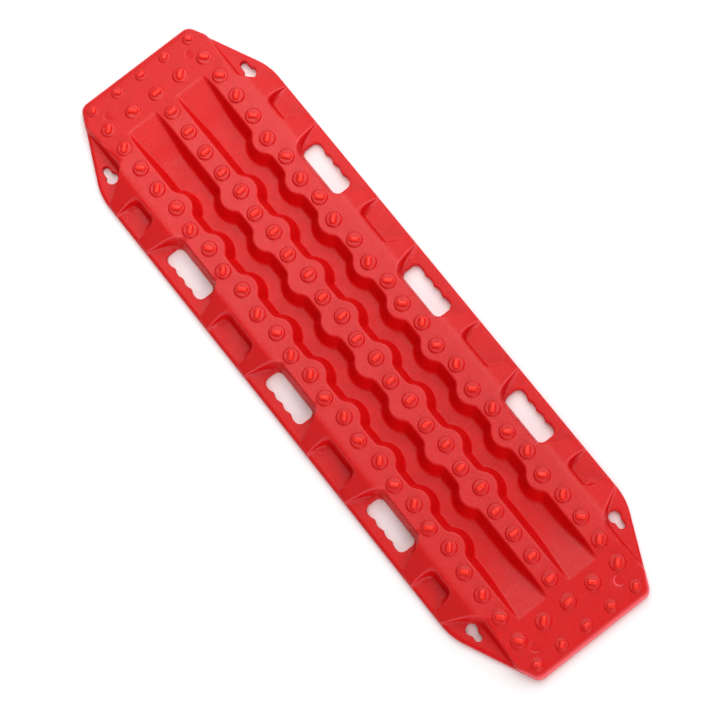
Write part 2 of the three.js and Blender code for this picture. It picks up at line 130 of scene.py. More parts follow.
# Slopes of the walls, as rise over run.
NOSE_SLOPE = (DECK - TIP_TOP) / (HALF_LENGTH - BEND_X)
SIDE_SLOPE = (DECK - FLANGE) / (HALF_WIDTH - SLOPE_Y)
GROOVE_WALL_SLOPE = (DECK - GROOVE_FLOOR) / GROOVE_WALL_RUN
RAMP_SLOPE = (DECK - NOSE_SLOPE * (SEAM_X - BEND_X) - GROOVE_FLOOR) / (SEAM_X - RAMP_FOOT_X)
RECESS_INNER_SLOPE = 4.5
RECESS_END_SLOPE = 10.0
RIM_WALL_SLOPE = 6.0                   # inner face of the rim, underneath

# Rounding of the creases, as the height over which two faces run into each other.
CREST_ROUND = 0.5
RAMP_TOP_ROUND = 0.15                  # what the crest's rounding narrows to, on the way to the nose
CREST_FADE = (SEAM_X - 4, SEAM_X - 1)  # where it narrows
FOOT_ROUND = 1.0
RECESS_CREST_ROUND = 0.3
RECESS_FOOT_ROUND = 0.7
BEND_ROUND = 0.35
RAMP_FOOT_ROUND = 0.9
SIDE_SLOPE_ROUND = 0.5
CORNER_ROUND = 1.2 * RECESS_END_SLOPE  # for upright corners: times the corner's radius in plan
HOLLOW_ROUND = 0.4

# Radii of the rims.
FLANGE_RIM = 0.65
TIP_RIM = 1.0
TIP_RIM_FROM, TIP_RIM_TO = 66.5, 71.0  # where along the board the rim's radius grows
HOLE_RIM = 0.25
BOTTOM_RIM = 0.15

Stud = namedtuple("Stud", "x y bar_angle size")
StudSize = namedtuple("StudSize", "radius boss bar bar_length bar_width")
STUD = StudSize(radius=1.63, boss=0.4, bar=0.5, bar_length=2.1, bar_width=1.15)
TIP_STUD = StudSize(radius=1.3, boss=0.35, bar=0.4, bar_length=1.6, bar_width=1.1)
BOSS_SLOPE = 2.5
BOSS_ROUND = 0.3
BAR_SLOPE = 4.0
BAR_ROUND = 0.3
BAR_CORNER_SHARE = 0.7                 # radius of a bar's corners, as a share of half its width
BAR_LEAN = math.pi / 4                 # angle between a side row's bars and the row

PIN_X, PIN_Y = 67.2, 10.1
# Ejector marks, as x, y and how strong the painted highlight round their edges is.
PIN_MARKS = [(PIN_X, PIN_Y, 1.0), (PIN_X, -PIN_Y, 0.2), (-PIN_X, PIN_Y, 0.2), (-PIN_X, -PIN_Y, 0.2)]
PIN_RADIUS = 1.05
PIN_EDGE = 0.14                        # width of a mark's edge
PIN_DEPTH = 0.2                        # at its right side
PIN_MIDDLE, PIN_TILT = 0.35, 0.65      # share of that depth at its middle, and the rest

# Painted highlights: pale lines in the colour where the rims, the front-facing recess walls and the
# ejector marks catch light.
EDGE_LINE = 0.1                        # width along the outline
EDGE_LINE_GROWTH = 1.3                 # extra width for each millimetre that the rim's radius grows
EDGE_LINE_GAIN = 1.4                   # above 1, so the line is at its full strength near the edge
EDGE_HIGHLIGHT, TIP_HIGHLIGHT = 0.4, 0.75      # strength of the painted highlight there, and at the rim's widest
PIN_LINE = 0.16                        # half width round an ejector mark
WALL_LINE = 0.17                       # half width beside the recess walls that face the front
# strength of the painted highlight beside those walls
WALL_HIGHLIGHT = 0.45
FOOT_LINE_OFF, CREST_LINE_OFF = -0.16, 0.1      # how far these lines are from the foot and the crest

BAR_MASK = "bar_top"                   # mesh attribute: 1 on the tops of the bars, where a brighter red is painted as a highlight
HIGHLIGHT_MASK = "painted_highlight"               # mesh attribute: how strong the painted highlight is


# ---------------------------------------------------------------- where the studs and bulges are
def stud_x(number):
    """Distance of a stud from the middle of its row; number 0 is the middle one."""
    n = abs(number)
    inner = min(n, EVEN_STUDS) * PITCH + (SLOT_GAP if n > GAP_AFTER else 0)
    return math.copysign(inner + max(0, n - EVEN_STUDS) * END_PITCH, number)


BULGE_NUMBERS = range(-EVEN_STUDS, EVEN_STUDS + 1)
SIDE_BULGES = np.array([stud_x(n) for n in BULGE_NUMBERS if n % 2 == 0])
CENTRE_BULGES = np.array([stud_x(n) for n in BULGE_NUMBERS if n % 2 == 1])


def studs():
    """Every stud: three long rows, and on each nose two short rows between them."""
    found = []
    for number in range(-LAST_STUD, LAST_STUD + 1):
        x = stud_x(number)
        size = TIP_STUD if abs(number) == LAST_STUD else STUD
        end = -1 if number < 0 else 1
        on_nose = abs(number) >= FIRST_NOSE_STUD
        odd = number % 2 == 1
        shift = BULGE_SHIFT if abs(number) <= EVEN_STUDS else 0
        found.append(Stud(x, shift if odd else 0, math.pi / 2, size))
        for side in (-1, 1):
            lean = side * end * (-1 if odd or on_nose else 1)
            y = side * (SIDE_ROW_Y - (0 if odd else shift))
            found.append(Stud(x, y, lean * BAR_LEAN, size))
            if on_nose:
                found.append(Stud(x, side * NOSE_ROW_Y, end * side * BAR_LEAN, size))
    return found


STUDS = studs()


# ---------------------------------------------------------------- rounded faces and walls
def smooth_min(a, b, width):
    """The lower of two heights, with the crease between them rounded."""
    near = np.clip(width - abs(a - b), 0, None)
    return np.minimum(a, b) - near * near / (4 * width)


def smooth_max(a, b, width):
    """The higher of two heights, with the crease between them filled."""
    return -smooth_min(-a, -b, width)


def deck_height(x, y):
    """The deck: level in the middle, sloping to both noses and both long edges."""
    nose = DECK - NOSE_SLOPE * (abs(x) - BEND_X)
    side = DECK - SIDE_SLOPE * (abs(y) - SLOPE_Y)
    return smooth_min(smooth_min(nose, DECK, BEND_ROUND), side, SIDE_SLOPE_ROUND)


# From a bulge's centre to the centre of the fillet beside it, out from the ridge and along it.
FILLET_RISE = BULGE_INSET + BULGE_FILLET
FILLET_SPREAD = math.sqrt((BULGE_RADIUS + BULGE_FILLET) ** 2 - FILLET_RISE**2)


def to_nearest(x, places):
    """Distance from each x to the nearest of some places."""
    return np.min(abs(x[:, None] - places[None, :]), axis=1)


def past_edge(x, v, bulges):
    """How far a point is past a ridge's edge, where v is its distance past the straight part."""
    along = to_nearest(x, bulges)
    plain = np.minimum(v, np.hypot(along, v + BULGE_INSET) - BULGE_RADIUS)
    to_centre_x, to_centre_v = FILLET_SPREAD - along, BULGE_FILLET - v
    in_fillet = (
        (to_centre_x > 0) & (to_centre_v > 0)
        & (to_centre_x * FILLET_RISE < to_centre_v * FILLET_SPREAD)
    )
    return np.where(in_fillet, BULGE_FILLET - np.hypot(to_centre_x, to_centre_v), plain)


def groove_walls(x, y, inset=0.0):
    """Height of the walls along both grooves, moved into the ridges by inset."""
    past_centre = past_edge(x, abs(y) - CENTRE_EDGE_Y, CENTRE_BULGES)
    past_side = past_edge(x, SIDE_EDGE_Y - abs(y), SIDE_BULGES)
    return DECK - GROOVE_WALL_SLOPE * (np.minimum(past_centre, past_side) + inset)


def groove_floor(x):
    """The groove floors, with the ramps up to the noses."""
    ramp = GROOVE_FLOOR + RAMP_SLOPE * (abs(x) - RAMP_FOOT_X)
    return smooth_max(ramp, GROOVE_FLOOR, RAMP_FOOT_ROUND)


# A recess in the long side: where its inner wall's foot is, and its two end walls, each as
# x at the ridge and x at the long edge. They are given for x > 0 and y > 0.
Recess = namedtuple("Recess", "foot_y low high corner_radius")
BEYOND = 2 * HALF_LENGTH               # x of an end wall that isn't there
RECESSES = [
    Recess(SEAM_Y, (-GRIP_INNER, -GRIP_OUTER), (GRIP_INNER, GRIP_OUTER), GRIP_CORNER),
    Recess(SEAM_Y, (GRIP_X - GRIP_INNER, GRIP_X - GRIP_OUTER),
           (GRIP_X + GRIP_INNER, GRIP_X + GRIP_OUTER), GRIP_CORNER),
    Recess(POCKET_FOOT_Y, (inner_pocket_low.x,) * 2, (inner_pocket_high.x,) * 2, POCKET_CORNER),
    Recess(POCKET_FOOT_Y, (outer_pocket_low.x,) * 2, (outer_pocket_high.x,) * 2, POCKET_CORNER),
    Recess(TAB_FOOT_Y, (TAB_INNER_X, TAB_OUTER_X), (BEYOND, BEYOND), TAB_CORNER),
]
FAR_ABOVE = 10 * DECK                  # higher than any face


def end_wall_x(wall, y):
    """Where an end wall's foot is at a distance y from the board's middle line."""
    ridge_x, edge_x = wall
    return ridge_x + (edge_x - ridge_x) * (y - SEAM_Y) / (HALF_WIDTH - SEAM_Y)


def recess_walls(x, y, inset=0.0):
    """Height of the walls round the recesses, moved away from the recesses by inset."""
    x, y = abs(x), abs(y)
    lowest = np.full_like(x, FAR_ABOVE)
    for recess in RECESSES:
        walls = RECESS_INNER_SLOPE * (recess.foot_y - y - inset)
        corner = CORNER_ROUND * recess.corner_radius
        for wall, facing in ((recess.low, 1), (recess.high, -1)):
            lean = (wall[1] - wall[0]) / (HALF_WIDTH - SEAM_Y)
            outside = facing * (end_wall_x(wall, y) - x) / math.hypot(1, lean)
            walls = smooth_max(walls, RECESS_END_SLOPE * (outside - inset), corner)
        lowest = np.minimum(lowest, FLANGE + walls)
    return lowest


def bar_corner(size):
    """Radius of a bar's corners in plan."""
    return size.bar_width / 2 * BAR_CORNER_SHARE


def inside_bar(stud, dx, dy):
    """How far points are inside the outline of a stud's bar, given from the stud's centre."""
    cos, sin = math.cos(stud.bar_angle), math.sin(stud.bar_angle)
    past_end = abs(dx * cos + dy * sin) - stud.size.bar_length / 2
    past_side = abs(dy * cos - dx * sin) - stud.size.bar_width / 2
    corner = bar_corner(stud.size)
    past_corner = np.hypot(np.clip(past_end + corner, 0, None), np.clip(past_side + corner, 0, None))
    return -np.maximum(np.maximum(past_end, past_side), past_corner - corner)


def stud_heights(x, y):
    """How far the studs stand above the deck, and how far their bars stand above the bosses.

    The tops are level, so on the sloping noses a stud stands out more on its downhill side.
    """
    height, bars = np.zeros_like(x), np.zeros_like(x)
    deck = deck_height(x, y)
    for stud in STUDS:
        size = stud.size
        dx, dy = x - stud.x, y - stud.y
        boss_top = size.boss + deck_height(stud.x, stud.y) - deck
        boss = smooth_min(BOSS_SLOPE * (size.radius - np.hypot(dx, dy)), boss_top, BOSS_ROUND)
        bar = smooth_min(BAR_SLOPE * inside_bar(stud, dx, dy), size.bar, BAR_ROUND)
        bars = np.maximum(bars, bar)
        height = np.maximum(height, np.maximum(boss, boss_top + bar))
    return height, bars


def pin_marks(x, y):
    """How deep the ejector pins have pressed: each a shallow disc, deeper towards the right."""
    depth = np.zeros_like(x)
    for px, py, _ in PIN_MARKS:
        dx, dy = x - px, y - py
        edge = np.clip((PIN_RADIUS - np.hypot(dx, dy)) / PIN_EDGE + 0.5, 0, 1)
        depth += PIN_DEPTH * edge * np.clip(PIN_MIDDLE - PIN_TILT * dy / PIN_RADIUS, 0, 1)
    return depth


def rim_drop(distance, radius):
    """How far a rounded rim has dropped at a distance from its edge."""
    left = np.clip(radius - distance, 0, radius)
    return radius - np.sqrt(radius**2 - left**2)


def rim_radius(x):
    """The radius of the outer rim, which grows smoothly towards the tips of the noses."""
    share = np.clip((abs(x) - TIP_RIM_FROM) / (TIP_RIM_TO - TIP_RIM_FROM), 0, 1)
    return FLANGE_RIM + (TIP_RIM - FLANGE_RIM) * share * share * (3 - 2 * share)


def top_height(x, y, to_outline, to_holes):
    """Height of the top face."""
    groove = smooth_max(groove_walls(x, y), groove_floor(x), FOOT_ROUND)
    recess = smooth_max(recess_walls(x, y), FLANGE, RECESS_FOOT_ROUND)
    crest = np.interp(abs(x), CREST_FADE, (CREST_ROUND, RAMP_TOP_ROUND))
    skin = smooth_min(smooth_min(deck_height(x, y), groove, crest), recess, RECESS_CREST_ROUND)
    rims = rim_drop(to_outline, rim_radius(x)) + rim_drop(to_holes, HOLE_RIM)
    return skin + stud_heights(x, y)[0] - rims - pin_marks(x, y)


def under_height(x, y, to_outline, to_holes):
    """Height of the underside: hollow under the ridges, shoulders and noses, and level elsewhere."""
    groove = np.maximum(groove_walls(x, y, WALL), groove_floor(x) - WALL)
    rim = RIM_WALL_SLOPE * (to_outline - WALL)
    walls = np.minimum(np.minimum(groove, recess_walls(x, y, WALL)), rim)
    hollow = smooth_min(deck_height(x, y) - WALL, walls, HOLLOW_ROUND)
    rims = rim_drop(to_outline, BOTTOM_RIM) + rim_drop(to_holes, BOTTOM_RIM)
    return np.maximum(hollow, 0) + rims


# ---------------------------------------------------------------- painted highlights
def rim_highlight(x, to_outline):
    """Painted highlight along the outline, wider and paler round the front nose."""
    growth = np.where(x > 0, rim_radius(x) - FLANGE_RIM, 0)
    strength = EDGE_HIGHLIGHT + (TIP_HIGHLIGHT - EDGE_HIGHLIGHT) * growth / (TIP_RIM - FLANGE_RIM)
    width = EDGE_LINE + EDGE_LINE_GROWTH * growth
    return strength * np.clip(EDGE_LINE_GAIN - EDGE_LINE_GAIN * to_outline / width, 0, 1)


def wall_highlight(x, y):
    """Painted highlight beside the foot and the crest of the recess walls that face the front."""
    walls = recess_walls(x, y)
    fall = (recess_walls(x - WALL_LINE, y) - recess_walls(x + WALL_LINE, y)) / (2 * WALL_LINE)
    facing_front = np.clip(fall / RECESS_END_SLOPE, 0, 1)
    light = np.zeros_like(x)
    for height, line_off in ((FLANGE, FOOT_LINE_OFF), (deck_height(x, y), CREST_LINE_OFF)):
        off = abs((walls - height) / RECESS_END_SLOPE - line_off)
        light = np.maximum(light, WALL_HIGHLIGHT * facing_front * (1 - off / WALL_LINE))
    return light


def pin_highlight(x, y):
    """Painted highlight round the right side of the ejector marks."""
    light = np.zeros_like(x)
    for px, py, highlight_strength in PIN_MARKS:
        off = abs(np.hypot(x - px, y - py) - PIN_RADIUS)
        to_right = np.clip((py - y) / PIN_RADIUS, 0, 1)
        light = np.maximum(light, highlight_strength * (1 - off / PIN_LINE) * to_right)
    return light


# ---------------------------------------------------------------- lines in the plan
# Steps in each kind of arc.
RECESS_CORNER_STEPS = 12
TIP_CORNER_STEPS = 12
SHOULDER_CORNER_STEPS = 20
SLOT_CORNER_STEPS = 8
SCALLOP_STEPS = 12                     # for each scallop
KEYHOLE_STEPS, KEYHOLE_SLOT_STEPS = 24, 10
RIDGE_EDGE_POINTS = 3000               # many, because evenly() picks from them


def arc(centre, radius, start, end, steps):
    """Points on an arc, both ends included."""
    angles = np.linspace(start, end, steps + 1)
    return np.column_stack([centre[0] + radius * np.cos(angles), centre[1] + radius * np.sin(angles)])


def rounded_corner(before, corner, after, radius, steps):
    """The points that take a line round one corner."""
    corner = np.array(corner, float)
    inward = np.array(before, float) - corner
    outward = np.array(after, float) - corner
    inward /= np.linalg.norm(inward)
    outward /= np.linalg.norm(outward)
    half_angle = math.acos(inward @ outward) / 2
    middle = inward + outward
    centre = corner + middle / np.linalg.norm(middle) * radius / math.sin(half_angle)
    start = corner + inward * radius / math.tan(half_angle) - centre
    end = corner + outward * radius / math.tan(half_angle) - centre
    first = math.atan2(start[1], start[0])
    turn = (math.atan2(end[1], end[0]) - first + math.pi) % (2 * math.pi) - math.pi
    return arc(centre, radius, first, first + turn, steps)


def evenly(line, spacing, closed=False):
    """The same line with points at an even spacing."""
    if closed:
        line = np.vstack([line, line[:1]])
    lengths = np.r_[0, np.cumsum(np.linalg.norm(np.diff(line, axis=0), axis=1))]
    count = max(2, round(lengths[-1] / spacing))
    places = np.linspace(0, lengths[-1], count + 1)
    points = np.column_stack([np.interp(places, lengths, line[:, k]) for k in (0, 1)])
    return points[:-1] if closed else points


def mirrored(line, end, side):
    """The line on another quarter of the board, still turning the same way."""
    copy = line * [end, side]
    return copy if end * side > 0 else copy[::-1]


def distance_to(points, line, closed=False):
    """Distance from each point to the nearest place on a line."""
    start = line if closed else line[:-1]
    step = (np.roll(line, -1, axis=0) if closed else line[1:]) - start
    nearest = np.full(len(points), np.inf)
    for a, d in zip(start, step):
        share = np.clip((points - a) @ d / (d @ d), 0, 1)
        nearest = np.minimum(nearest, np.linalg.norm(points - a - share[:, None] * d, axis=1))
    return nearest


def board_outline():
    """The board's outline, counter-clockwise."""
    *tip_corner, tip_radius = TIP_CORNER
    *shoulder_corner, shoulder_radius = SHOULDER_CORNER
    quarter = np.vstack([
        rounded_corner((HALF_LENGTH, 0), tip_corner, shoulder_corner, tip_radius, TIP_CORNER_STEPS),
        rounded_corner(
            tip_corner, shoulder_corner, (0, HALF_WIDTH), shoulder_radius, SHOULDER_CORNER_STEPS),
    ])
    counter_clockwise = ((1, 1), (-1, 1), (-1, -1), (1, -1))
    return np.vstack([mirrored(quarter, end, side) for end, side in counter_clockwise])


def slot_loop():
    """A finger slot about x = 0 on the left side, counter-clockwise, with its scallops."""
    x, low, high = SLOT_HALF_LENGTH, SEAM_Y, SLOT_OUTER_Y
    corners = [(-x, low), (x, low), (x, high), (-x, high)]
    rounds = [
        rounded_corner(before, corner, after, SLOT_CORNER, SLOT_CORNER_STEPS)
        for before, corner, after in zip(corners[-1:] + corners, corners, corners[1:] + corners[:1])
    ]
    reach = SCALLOPS / 2 * SCALLOP
    u = np.linspace(reach, -reach, SCALLOPS * SCALLOP_STEPS + 1)
    depth = (SLOT_OUTER_Y - CUSP_Y) * abs(np.sin(math.pi * u / SCALLOP))
    fingers = np.column_stack([u, CUSP_Y + depth])
    return np.vstack([rounds[0], rounds[1], rounds[2], fingers, rounds[3]])


def keyhole_loop():
    """The front left keyhole, counter-clockwise: a round hole with a slot towards the nose."""
    neck = math.asin(KEYHOLE_SLOT_RADIUS / KEYHOLE_RADIUS)
    end = (KEYHOLE_CENTRE[0] + KEYHOLE_REACH, KEYHOLE_CENTRE[1])
    hole = arc(KEYHOLE_CENTRE, KEYHOLE_RADIUS, neck, 2 * math.pi - neck, KEYHOLE_STEPS)
    slot = arc(end, KEYHOLE_SLOT_RADIUS, -math.pi / 2, math.pi / 2, KEYHOLE_SLOT_STEPS)
    return np.vstack([hole, slot])


def ridge_edge(edge_y, facing, bulges):
    """One long edge of a ridge from rear to front; facing is the side that the groove is on."""
    x = np.linspace(-SEAM_X, SEAM_X, RIDGE_EDGE_POINTS)
    along = to_nearest(x, bulges)
    contact = BULGE_RADIUS * FILLET_SPREAD / (BULGE_RADIUS + BULGE_FILLET)
    bulge = np.sqrt(np.clip(BULGE_RADIUS**2 - along**2, 0, None)) - BULGE_INSET
    fillet = rim_drop(BULGE_FILLET - FILLET_SPREAD + along, BULGE_FILLET)
    return np.column_stack([x, edge_y + facing * np.where(along < contact, bulge, fillet)])


def recess_foot(recess):
    """The foot of a recess's walls, with the shoulder on its left."""
    radius, steps = recess.corner_radius, RECESS_CORNER_STEPS
    low = (end_wall_x(recess.low, recess.foot_y), recess.foot_y)
    high = (min(end_wall_x(recess.high, recess.foot_y), HALF_LENGTH), recess.foot_y)
    mouth_low = (recess.low[1], HALF_WIDTH)
    line = [[mouth_low], rounded_corner(mouth_low, low, high, radius, steps)]
    if recess.high[0] < BEYOND:
        mouth_high = (recess.high[1], HALF_WIDTH)
        line += [rounded_corner(low, high, mouth_high, radius, steps), [mouth_high]]
    else:
        line += [[high]]
    return np.vstack(line)[::-1]


QUARTERS = [(end, side) for end in (1, -1) for side in (1, -1)]
OUTLINE = board_outline()
SLOTS = [mirrored(slot_loop(), 1, side) + [x, 0] for side in (1, -1) for x in (-GRIP_X, 0, GRIP_X)]
KEYHOLES = [mirrored(keyhole_loop(), end, side) for end, side in QUARTERS]


# ---------------------------------------------------------------- triangles over the plan
# Spacing of the points along each kind of line, and of those between the lines.
OUTLINE_SPACING = 0.55
HOLE_SPACING = 0.3
RIDGE_SPACING = 0.5
RECESS_SPACING = 0.45
SLOPE_SPACING = 0.6
TOP_SPACING, UNDER_SPACING = 0.9, 1.2
ROW_SHARE = 0.87                       # rows this much closer than points make even triangles

# Offsets of the lines beside each kind of crease: closest where the skin bends most.
RIM_RINGS = (0.03, 0.1, 0.2, 0.32, 0.5, 0.75, 1.05)
HOLE_RINGS = (-0.03, -0.09, -0.17, -0.27)
TOP_RIDGE_RINGS = (-0.8, -0.35, -0.15, 0, 0.15, 0.3, 0.6, 0.95, 1.15, 1.35, 1.55, 1.75, 2.0)
TOP_RECESS_RINGS = (-0.25, -0.12, -0.04, 0.04, 0.12, 0.22, 0.3, 0.36, 0.42, 0.5, 0.65, 1.0)
UNDER_RIDGE_RINGS = (-0.8, -0.5, -0.1, 0.3, 0.6)
UNDER_RECESS_RINGS = (-0.25, 0.1, 0.45, 0.7, 0.95, 1.2, 1.5, 1.75)
SEAM_RINGS = (-0.5, -0.25, 0, 0.25, 0.5)
SLOPE_RINGS = (-0.4, -0.15, 0.1, 0.4)
BOSS_RINGS = (-0.44, -0.3, -0.17, -0.1, -0.04, 0.03, 0.12)
BAR_RINGS = (0.05, -0.02, -0.1, -0.18)
PIN_RINGS = (-0.5, -0.25, -PIN_EDGE / 2, 0, PIN_EDGE / 2, 0.15)

SEAM_POINTS = 40
BOSS_STEPS, BAR_CORNER_STEPS, PIN_STEPS = 20, 3, 24
# Which way each of a bar's corners lies, along and across, and the angle at which its arc starts.
BAR_CORNERS = ((1, 1, 0), (-1, 1, math.pi / 2), (-1, -1, math.pi), (1, -1, 1.5 * math.pi))

# A copy of a line counts where it is about its offset from the line, and not nearer.
CLEAR_SHARE, CLEAR_SLACK = 0.97, 0.01
WHOLE_HULL = 0                         # delaunay_2d_cdt: keep every triangle
SAME_POINT = 1e-5                      # delaunay_2d_cdt: nearer points are joined


class Plan:
    """Points and lines in the plan, to be cut into triangles."""

    def __init__(self):
        self.points = []
        self.links = []

    def add(self, line, closed=False, keep=None):
        """A line that triangles won't cross; keep says which of its points count."""
        keep = np.ones(len(line), bool) if keep is None else keep
        number = len(self.points) + np.cumsum(keep) - 1
        self.points.extend(map(tuple, line[keep]))
        for i in range(0 if closed else 1, len(line)):
            if keep[i - 1] and keep[i]:
                self.links.append((int(number[i - 1]), int(number[i])))

    def add_beside(self, line, offsets, closed=False):
        """Copies of a line to its left, each without the stretches where it would fold back."""
        if closed:
            ahead, behind = np.roll(line, -1, axis=0), np.roll(line, 1, axis=0)
        else:
            ahead, behind = np.vstack([line[1:], line[-1:]]), np.vstack([line[:1], line[:-1]])
        along = ahead - behind
        along /= np.linalg.norm(along, axis=1)[:, None]
        left = np.column_stack([-along[:, 1], along[:, 0]])
        for offset in offsets:
            copy = line + offset * left
            clear = distance_to(copy, line, closed) > CLEAR_SHARE * abs(offset) - CLEAR_SLACK
            self.add(copy, closed, clear)

    def add_circles(self, centre, radius, rings, steps):
        """Circles a little inside and outside a round edge."""
        for ring in rings:
            self.add(arc(centre, radius + ring, 0, 2 * math.pi, steps)[:-1], closed=True)

    def fill(self, spacing):
        """Points at an even spacing wherever no line passes."""
        cell = spacing / 2
        taken = set(map(tuple, np.floor(np.array(self.points) / cell).astype(int)))
        for row, y in enumerate(np.arange(-HALF_WIDTH, HALF_WIDTH, spacing * ROW_SHARE)):
            for x in np.arange(-HALF_LENGTH + row % 2 * cell, HALF_LENGTH, spacing):
                if (math.floor(x / cell), math.floor(y / cell)) not in taken:
                    self.points.append((x, y))

    def triangles(self):
        """Corner points and triangles of everything inside the outline and outside the holes."""
        points, _, faces, *_ = delaunay_2d_cdt(
            self.points, self.links, [], WHOLE_HULL, SAME_POINT, False)
        points, faces = np.array(points), np.array(faces)
        middle = points[faces].mean(axis=1)
        faces = faces[inside_board(middle)]
        used, faces = np.unique(faces, return_inverse=True)
        return points[used], faces.reshape(-1, 3)


def inside_board(points):
    """Whether each point is inside the outline and outside every hole."""
    inside = np.zeros(len(points), bool)
    for loop in [OUTLINE, *SLOTS, *KEYHOLES]:
        for (ax, ay), (bx, by) in zip(loop, np.roll(loop, -1, axis=0)):
            if ay == by:
                continue
            crosses = (points[:, 1] < ay) != (points[:, 1] < by)
            x = ax + (points[:, 1] - ay) * (bx - ax) / (by - ay)
            inside ^= crosses & (points[:, 0] < x)
    return inside


def add_rims(plan):
    """The edges of the outline, the slots and the keyholes, and lines over their rounded rims."""
    outline = evenly(OUTLINE, OUTLINE_SPACING, closed=True)
    plan.add(outline, closed=True)
    plan.add_beside(outline, RIM_RINGS, closed=True)
    for hole in SLOTS + KEYHOLES:
        rim = evenly(hole, HOLE_SPACING, closed=True)
        plan.add(rim, closed=True)
        plan.add_beside(rim, HOLE_RINGS, closed=True)


def add_groove_walls(plan, rings):
    """Lines along the walls of both grooves."""
    for side in (-1, 1):
        centre_edge = ridge_edge(side * CENTRE_EDGE_Y, side, CENTRE_BULGES)
        plan.add_beside(evenly(centre_edge, RIDGE_SPACING), [side * ring for ring in rings])
        side_edge = ridge_edge(side * SIDE_EDGE_Y, -side, SIDE_BULGES)
        plan.add_beside(evenly(side_edge, RIDGE_SPACING), [-side * ring for ring in rings])


def add_recess_walls(plan, rings):
    """Lines along the walls round every recess; the middle recess is its own mirror image."""
    for recess in RECESSES:
        foot = evenly(recess_foot(recess), RECESS_SPACING)
        in_middle = recess.low[0] < 0
        for end, side in QUARTERS:
            if not (in_middle and end < 0):
                plan.add_beside(mirrored(foot, end, side), rings)


def add_deck_bends(plan):
    """Lines across the tops of the ramps, and along both bends to the long edges."""
    y = np.linspace(-SIDE_EDGE_Y, SIDE_EDGE_Y, SEAM_POINTS)
    for end in (-1, 1):
        for ring in SEAM_RINGS:
            plan.add(np.column_stack([np.full_like(y, end * (SEAM_X + ring)), y]))
    x = np.arange(-SHOULDER_CORNER[0], SHOULDER_CORNER[0], SLOPE_SPACING)
    for side in (-1, 1):
        for ring in SLOPE_RINGS:
            plan.add(np.column_stack([x, np.full_like(x, side * (SLOPE_Y + ring))]))


def bar_loop(stud, ring):
    """A line round a stud's bar, moved outward by ring."""
    size = stud.size
    corner = bar_corner(size) + ring
    x, y = size.bar_length / 2 + ring - corner, size.bar_width / 2 + ring - corner
    loop = np.vstack([
        arc((along * x, across * y), corner, start, start + math.pi / 2, BAR_CORNER_STEPS)
        for along, across, start in BAR_CORNERS
    ])
    cos, sin = math.cos(stud.bar_angle), math.sin(stud.bar_angle)
    turned_x = loop[:, 0] * cos - loop[:, 1] * sin
    turned_y = loop[:, 0] * sin + loop[:, 1] * cos
    return np.column_stack([turned_x + stud.x, turned_y + stud.y])


def add_stud_lines(plan):
    """Lines round every stud's boss and bar."""
    for stud in STUDS:
        plan.add_circles((stud.x, stud.y), stud.size.radius, BOSS_RINGS, BOSS_STEPS)
        for ring in BAR_RINGS:
            plan.add(bar_loop(stud, ring), closed=True)


def add_pin_lines(plan):
    """Lines round the ejector marks."""
    for x, y, _ in PIN_MARKS:
        plan.add_circles((x, y), PIN_RADIUS, PIN_RINGS, PIN_STEPS)


def plan_of_board(ridge_rings, recess_rings):
    """The lines that the top face and the underside share."""
    plan = Plan()
    add_rims(plan)
    add_groove_walls(plan, ridge_rings)
    add_recess_walls(plan, recess_rings)
    add_deck_bends(plan)
    return plan


def top_plan():
    """The top face's points and lines."""
    plan = plan_of_board(TOP_RIDGE_RINGS, TOP_RECESS_RINGS)
    add_stud_lines(plan)
    add_pin_lines(plan)
    plan.fill(TOP_SPACING)
    return plan


def under_plan():
    """The underside's points and lines."""
    plan = plan_of_board(UNDER_RIDGE_RINGS, UNDER_RECESS_RINGS)
    plan.fill(UNDER_SPACING)
    return plan


# ---------------------------------------------------------------- the board's mesh
def lifted(plan, height):
    """The plan's triangles with a height at each point."""
    points, faces = plan.triangles()
    to_outline = distance_to(points, OUTLINE, closed=True)
    to_holes = np.min([distance_to(points, hole, closed=True) for hole in SLOTS + KEYHOLES], axis=0)
    z = height(points[:, 0], points[:, 1], to_outline, to_holes)
    return np.column_stack([points, z]), faces


def open_edges(faces):
    """The edges that only one triangle has, each in that triangle's direction."""
    edges = np.vstack([faces[:, [0, 1]], faces[:, [1, 2]], faces[:, [2, 0]]])
    _, first, count = np.unique(
        np.sort(edges, axis=1), axis=0, return_index=True, return_counts=True)
    return edges[first[count == 1]]


def nearest_in_plan(points, others):
    """For each point, the number of the nearest of the others, seen from above."""
    tree = KDTree(len(others))
    for i, (x, y, _) in enumerate(others):
        tree.insert((x, y, 0), i)
    tree.balance()
    return [tree.find((x, y, 0))[1] for x, y, _ in points]


def add_mask(mesh, name, top_values):
    """A value at each point of the top face, and 0 at those of the underside."""
    values = np.zeros(len(mesh.vertices), np.float32)
    values[:len(top_values)] = top_values
    mesh.attributes.new(name, "FLOAT", "POINT").data.foreach_set("value", values)


def add_masks(mesh, top):
    """The attributes that the material reads."""
    x, y = top[:, 0], top[:, 1]
    to_outline = distance_to(top[:, :2], OUTLINE, closed=True)
    # where the bar tops get their painted highlight
    add_mask(mesh, BAR_MASK, np.clip(stud_heights(x, y)[1] / STUD.bar, 0, 1))
    # painted highlights along the outline, the front-facing recess walls and the ejector marks
    light = np.maximum(np.maximum(rim_highlight(x, to_outline), wall_highlight(x, y)), pin_highlight(x, y))
    add_mask(mesh, HIGHLIGHT_MASK, light)


